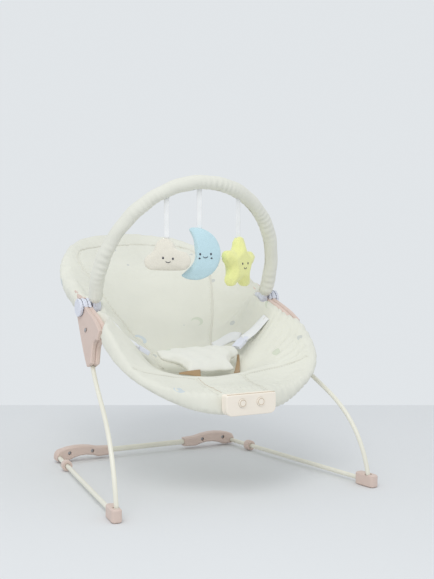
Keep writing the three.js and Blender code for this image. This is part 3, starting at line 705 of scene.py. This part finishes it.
for side, sign in SIDES:
    stitches(f"back_stitching_{side}", [(sign * (a - 5), b) for a, b in BACK_SEAM[:-1]], 60, 0.003, PIPING)
    stitches(f"crest_stitching_{side}", [(sign * a, b - 5) for a, b in CREST_SEAM], 26, 0.003, PIPING)
    thread = THREAD if side == "left" else PIPING
    stitches(f"front_stitching_{side}", [(sign * 40, b) for _, b in FRONT_SEAM], 20, 0.0028, thread)

# ------------------------------------------------------------------ lap panel, straps and buckles
lap = inflate(NODES["lap_panel"].data, "lap_pad", LAP_CLOTH, voxel=0.004, shrink=-0.001, cap=0.006,
              rounding=16)
co = coordinates(lap)
front_edge = co[:, 1].min()
hem = smooth_step(front_edge + 0.04, front_edge, co[:, 1])
FINE_SHIFT = Vector((3, 1, 2))
rumple = np.array([noise.noise(Vector(p) * 38) * 1.6 + noise.noise(Vector(p) * 75 + FINE_SHIFT) * 0.9
                   for p in co])
fold = np.sin(co[:, 0] * 190 + co[:, 1] * 160) * 0.7 + np.sin(co[:, 0] * 330 - co[:, 1] * 120 + 1) * 0.5 * hem
co[:, 2] += (rumple + fold) / 1000 * 0.8
set_coordinates(lap, co)
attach(lap, "seat")
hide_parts("lap_panel")


def node_centre(name):
    low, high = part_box(name)
    return (low + high) / 2


for side, sign in SIDES:
    near = node_centre(f"buckle_tongue_{side}")
    far = world(sign * 149, 192, 273)
    middle = (near + far) / 2 + Vector((0, 0, -0.004))
    knots = [near, near.lerp(middle, 0.5) + Vector((0, 0, -0.001)), middle, middle.lerp(far, 0.5), far]
    path, _ = curve_points(knots, 26)
    # The strap lies on the highest of the wrinkles around each point, and a little above them.
    heights = []
    for p in path:
        x, y = p[0] * 1000, (p[1] + Y0) * 1000
        heights.append(max(p[2], *(on_cover(x, y + dy, 1.0)[0].z for dy in (0, 8, -8))))
    heights = [max(heights[max(0, i - 1):i + 2]) for i in range(len(heights))]
    heights = np.convolve(np.r_[heights[0], heights, heights[-1]], [0.25, 0.5, 0.25], "valid")
    lifted = [(p[0], p[1], z + 0.001) for p, z in zip(path, heights)]
    normals = [(-sign * 0.35, -0.35, 0.9), (-sign * 0.8, -0.2, 0.55)]
    webbing = strap(f"side_strap_{side}", lifted, [0.02, 0.02], normals, 0.0018, MATERIALS["webbing"])
    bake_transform(webbing)
    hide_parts(f"strap_{side}")
    tack_path = [Vector(p) + Vector((0, 0, 0.0012)) for p in lifted[-5:]]
    tack = sweep(f"strap_tack_{side}", tack_path, 0.0006, PIPING, 6)
    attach(tack, "seat")

# ------------------------------------------------------------------ toy bar
# The arch's centre line, in millimetres: it springs from (0, ARCH_Y, ARCH_Z) and leans forward as it rises.
ARCH_Y, ARCH_Z = 219.3, 343.7
ARCH_HALF_WIDTH, ARCH_RISE, ARCH_LEAN = 168.5, 172.5, 0.4148
SLEEVE_RADIUS = 12.3  # of the CAD sleeve, where the ribbons start


def arch(degrees):
    a = math.radians(degrees)
    rise = ARCH_RISE * math.sin(a)
    return world(ARCH_HALF_WIDTH * math.cos(a), ARCH_Y - ARCH_LEAN * rise, ARCH_Z + rise)


sleeve_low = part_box("toy_bar_sleeve")[0].z * 1000
low_angle = math.degrees(math.asin(max(-1, (sleeve_low - ARCH_Z) / ARCH_RISE))) - 2.5
sleeve_path = [arch(a) for a in np.linspace(low_angle, 180 - low_angle, 260)]


PADDED_RADIUS, RUCKS, RUCK_HEIGHT = 0.0121, 62, 0.00075


def sleeve_radius(t, angle):
    """Padding gathered on the inside of the bend and drawn in at both ends."""
    inner = max(0.0, -math.sin(angle)) ** 2
    unevenly = 0.5 + 0.5 * math.sin(t * 29 + 1)
    ruck = math.sin(2 * math.pi * t * RUCKS + 1.4 * math.sin(t * 47)) * unevenly * RUCK_HEIGHT
    ends = min(t, 1 - t)
    close = 1 - 0.42 * math.exp(-(ends / 0.006) ** 2)
    frill = 0.0006 * math.sin(9 * angle) * math.exp(-(ends / 0.03) ** 2)
    wide = 0.0005 * math.sin(t * 37) + 0.0004 * math.sin(t * 91 + 2 * math.cos(angle))
    return (PADDED_RADIUS + ruck * (0.25 + inner) + wide) * close + frill


sleeve = sweep("padded_sleeve", sleeve_path, sleeve_radius, SLEEVE_CLOTH, 28, up=(0, 0.92, 0.38))
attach(sleeve, "toy_bar")
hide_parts("toy_bar_sleeve")
seam_path = []
for degrees in np.linspace(low_angle + 2, 178 - low_angle, 180):
    p = arch(degrees)
    seam_path.append(p + (world(0, ARCH_Y, ARCH_Z) - p).normalized() * 0.0122)
seam = sweep("sleeve_seam", seam_path, lambda t, a: 0.0009 + 0.0003 * math.sin(t * 300), PIPING, 8)
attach(seam, "toy_bar")

# ------------------------------------------------------------------ hanging toys
def arc(cx, cz, radius, start, end, count):
    angles = np.radians(np.linspace(start, end, count))
    return [(cx + radius * math.cos(a), cz + radius * math.sin(a)) for a in angles]


# Outlines in millimetres, across and up.
CLOUD = (arc(-25, -15, 14.5, 115, 265, 14) + [(-12, -30.5), (4, -31)] + arc(24, -13, 18, -88, 70, 16)
         + arc(-3, 7, 19.5, 12, 168, 16))
MOON = arc(-10, 0, 47.5, 111, -111, 44) + arc(-100, 0, 86.5, -30.5, 30.5, 24)
STAR = []
for step in range(60):
    turn = 2 * math.pi * step / 60
    point = abs((step % 12) / 6 - 1)
    reach = 33.5 + 17 * smooth_step(0, 1, point)
    STAR.append((reach * math.sin(turn), reach * math.cos(turn)))
# Where each toy hangs: its place on the arch, drop below the sleeve, turn, and tilt in its own plane.
TOYS = {
    "cloud": dict(degrees=113.5, drop=89, yaw=-26, roll=0, outline=CLOUD, eyes=((-6.0, -7.6), (10.5, -9.0)),
                  mouth=(2.4, -15.0), cheeks=()),
    "moon": dict(degrees=92.9, drop=108, yaw=-24, roll=-9, outline=MOON, eyes=((0.5, 1.5), (19.0, 1.5)),
                 mouth=(9.6, -4.0), cheeks=((-0.5, -5.5), (20, -5.5))),
    "star": dict(degrees=65.6, drop=109, yaw=29, roll=-4, outline=STAR, eyes=((-8.5, 0.5), (8.5, 0.5)),
                 mouth=(0, -8.0), cheeks=()),
}
TOY_HALF_THICKNESS = 7.5
RIBBON_GAP = 3  # from the sleeve to the point the drop is measured from


def toy_axes(toy):
    """Unit vectors across the toy and towards its back."""
    yaw = math.radians(toy["yaw"])
    return Vector((math.cos(yaw), math.sin(yaw), 0)), Vector((-math.sin(yaw), math.cos(yaw), 0))


def toy_point(toy, x, z, y=0.0):
    """World point from the toy's own millimetres: across, up, and towards its back."""
    below = SLEEVE_RADIUS / math.sin(math.radians(toy["degrees"])) + RIBBON_GAP
    hang = arch(toy["degrees"]) - Vector((0, 0, below / 1000))
    across, back = toy_axes(toy)
    return hang + Vector((0, 0, (z - toy["drop"]) / 1000)) + across * (x / 1000) + back * (y / 1000)


def toy_slab(toy):
    """Closed slab of the toy's outline, in place."""
    roll = math.radians(toy["roll"])
    cos, sin = math.cos(roll), math.sin(roll)
    flat = [(x * cos - z * sin, x * sin + z * cos) for x, z in toy["outline"]]
    n = len(flat)
    verts = [toy_point(toy, x, z, y) for y in (-TOY_HALF_THICKNESS, TOY_HALF_THICKNESS) for x, z in flat]
    mesh = bpy.data.meshes.new("outline")
    ends = [tuple(range(n)), tuple(range(2 * n - 1, n - 1, -1))]
    sides = [(i, (i + 1) % n, n + (i + 1) % n, n + i) for i in range(n)]
    mesh.from_pydata([tuple(v) for v in verts], [], ends + sides)
    mesh.update()
    return mesh


def bead(name, centre, across, up, out, radii, material):
    """Small embroidered dot: a low dome of thread."""
    verts, faces = [], []
    rings, turns = 6, 14
    for i in range(1, rings):
        a = math.pi * i / rings
        for k in range(turns):
            w = 2 * math.pi * k / turns
            bumpy = 1 + 0.05 * math.sin(5 * w + i)
            verts.append(centre + across * (radii[0] * math.sin(a) * math.cos(w) * bumpy)
                         + up * (radii[1] * math.sin(a) * math.sin(w) * bumpy)
                         + out * (radii[2] * math.cos(a)))
    for i in range(rings - 2):
        for k in range(turns):
            p = i * turns
            faces.append((p + k, p + (k + 1) % turns, p + turns + (k + 1) % turns, p + turns + k))
    faces.append(tuple(range(turns)))
    faces.append(tuple(range((rings - 2) * turns, (rings - 1) * turns)))
    obj = mesh_object(name, verts, faces, material)
    fix_normals(obj)
    return obj


def on_toy(toy, tree, x, z, lift=0.0):
    """Point on the toy's face, lifted off it by some millimetres."""
    back = toy_axes(toy)[1]
    hit = tree.ray_cast(toy_point(toy, x, z, -60), back)[0]
    return (hit if hit is not None else toy_point(toy, x, z, -12)) - back * (lift / 1000)


for name, toy in TOYS.items():
    body = inflate(toy_slab(toy), f"{name}_pillow", MATERIALS[f"{name}_plush"], 0.0032, 0.0005, 7.0, 0.008)
    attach(body, name)
    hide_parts(f"{name}_toy")
    tree = BVHTree.FromObject(body, bpy.context.evaluated_depsgraph_get())
    across, back = toy_axes(toy)
    spots = [("eye", p, 0.00175, 0.0022) for p in toy["eyes"]]
    spots += [("cheek", p, 0.0019, 0.0015) for p in toy["cheeks"]]
    for i, (kind, (x, z), wide, tall) in enumerate(spots):
        piece = bead(f"{name}_{kind}_{i + 1}", on_toy(toy, tree, x, z), across, Vector((0, 0, 1)), -back,
                     (wide, tall, 0.0009), FACE_INK)
        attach(piece, name)
    mouth_x, mouth_z = toy["mouth"]
    smile = [on_toy(toy, tree, mouth_x + 4.2 * math.cos(a), mouth_z + 2.6 + 3.2 * math.sin(a), 0.2)
             for a in np.linspace(math.pi + 0.35, 2 * math.pi - 0.35, 11)]
    piece = sweep(f"{name}_smile", smile, 0.0006, FACE_INK, 8)
    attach(piece, name)
    low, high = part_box(f"{name}_ribbon")
    middle = (low + high) / 2
    turn = min(math.radians(toy["yaw"]), 0.0)
    face = (math.sin(turn), -math.cos(turn), 0)
    run = [Vector((middle.x, middle.y, z)) + Vector(face) * (0.0004 * math.sin(z * 240))
           for z in np.linspace(high.z + 0.005, low.z - 0.004, 18)]
    tape = strap(f"{name}_tape", run, [0.0088, 0.0088], [face, face], 0.0009, MATERIALS["webbing"])
    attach(tape, name)
    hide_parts(f"{name}_ribbon")

# ------------------------------------------------------------------ small details
# Openings beside the lap panel, where the leg holes lie in shade under it: dark strips of painted shade.
OPENINGS = {
    "left": ([(-62, 118, 196), (-50, 114, 196.5), (-38, 111, 196), (-26, 109, 195)], (2.5, 14),
             (-0.1, -0.8, 0.45)),
    "right": ([(45, 112, 191), (57, 133, 192), (72, 158, 200), (84, 180, 211)], (11, 4), (-0.4, -0.5, 0.75)),
}
for side, (points, widths, normal) in OPENINGS.items():
    path, _ = curve_points([world(*p) for p in points], 16)
    gap_shade_strip = strap(f"leg_gap_shade_{side}", path, [w / 1000 for w in widths], (normal, normal), 0.0012, DARK)
    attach(gap_shade_strip, "seat")

# The loose end of the right strap.
tail_path = [on_cover(x, y, 1.6)[0] for x, y in ((64, 240), (76, 235), (88, 229), (98, 224), (108, 217))]
tail_normals = [(-0.3, -0.6, 0.7), (-0.5, -0.6, 0.5)]
tail = strap("strap_end_right", curve_points(tail_path, 16)[0], [0.017, 0.02], tail_normals, 0.0016,
             MATERIALS["webbing"])
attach(tail, "seat")

# A thin ring round the mark on each push button.
MARK_RADIUS = 0.0052
for side, _ in SIDES:
    low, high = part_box(f"button_{side}")
    middle = (low + high) / 2
    ring = []
    for a in np.linspace(0, 2 * math.pi, 28, endpoint=False):
        x, z = middle.x + MARK_RADIUS * math.cos(a), middle.z + MARK_RADIUS * math.sin(a)
        ring.append(Vector((x, low.y - 0.0001, z)))
    mark = sweep(f"button_mark_{side}", ring, 0.0003, THREAD, 6, closed=True, up=(0, 1, 0))
    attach(mark, f"button_{side}")

# Knurled rings round the toy bar's clips, with dark rings between them as painted shade in the grooves: place
# across, radius and half thickness.
PIVOT_Y, PIVOT_Z = 242, 302
CLIP_RINGS = ((176.5, 15.1, 0.9, MATERIALS["white_plastic"]), (181, 15.0, 0.5, GROOVE_SHADE),
              (185.5, 15.1, 0.9, MATERIALS["white_plastic"]), (190, 15.0, 0.5, GROOVE_SHADE),
              (194, 14.6, 0.9, MATERIALS["white_plastic"]))
KNURLS = 19


def knurled(thick):
    return lambda t, _: thick / 1000 * (1 + 0.5 * math.sin(t * 2 * math.pi * KNURLS))


for side, sign in SIDES:
    for number, (x, radius, thick, material) in enumerate(CLIP_RINGS, 1):
        ring = [world(sign * x, PIVOT_Y + radius * math.cos(a), PIVOT_Z + radius * math.sin(a))
                for a in np.linspace(0, 2 * math.pi, 96, endpoint=False)]
        knurl = sweep(f"clip_ring_{number}_{side}", ring, knurled(thick), material, 8, closed=True,
                      up=(1, 0, 0))
        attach(knurl, "seat")

# Parting line along the top of the vibration unit.
low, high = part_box("unit_front_shell")
line = [Vector((x, low.y + 0.004, high.z + 0.0001)) for x in np.linspace(low.x + 0.003, high.x - 0.001, 30)]
gap = sweep("unit_parting_line", line, 0.0005, THREAD, 6)
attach(gap, "seat")

# ------------------------------------------------------------------ studio
forward = Vector((-BACK.x, -BACK.y, 0)).normalized()
beside = Vector((-forward.y, forward.x, 0))
ground = Vector((camera.location.x, camera.location.y, 0))
FLOOR_FAR, FLOOR_NEAR, FLOOR_SIDE = 2.685, -4, 5  # metres from the camera; the far edge is the horizon
corners = [ground + forward * f + beside * s
           for f, s in ((FLOOR_FAR, -FLOOR_SIDE), (FLOOR_FAR, FLOOR_SIDE), (FLOOR_NEAR, FLOOR_SIDE),
                        (FLOOR_NEAR, -FLOOR_SIDE))]
floor_shader = Shader("pale_floor", 0.9, Specular_IOR_Level=0.1)
floor_patch = floor_shader.noise(2.0, 2)
floor_colour = floor_shader.mix(floor_patch, linear(228, 229, 230), linear(226, 227, 228))
floor_material = floor_shader.finish(floor_colour, (floor_shader.noise(300, 2), 0.03, 0.0005))
floor = mesh_object("floor", [c - Vector((0, 0, 0.0004)) for c in corners], [(3, 2, 1, 0)], floor_material)
surroundings = bpy.data.worlds.new("studio")
bpy.context.scene.world = surroundings
surroundings.use_nodes = True
background = surroundings.node_tree.nodes["Background"]
background.inputs["Color"].default_value = (0.757, 0.787, 0.812, 1)
background.inputs["Strength"].default_value = 1.0


def soft_light(name, position, target, size, power):
    data = bpy.data.lights.new(name, "AREA")
    data.size, data.energy = size, power
    light = bpy.data.objects.new(name, data)
    bpy.context.scene.collection.objects.link(light)
    light.location = position
    light.rotation_euler = (Vector(position) - Vector(target)).to_track_quat("Z", "Y").to_euler()


soft_light("key", (-1.2, -1.6, 2.6), (0, 0, 0.25), 1.6, 27)
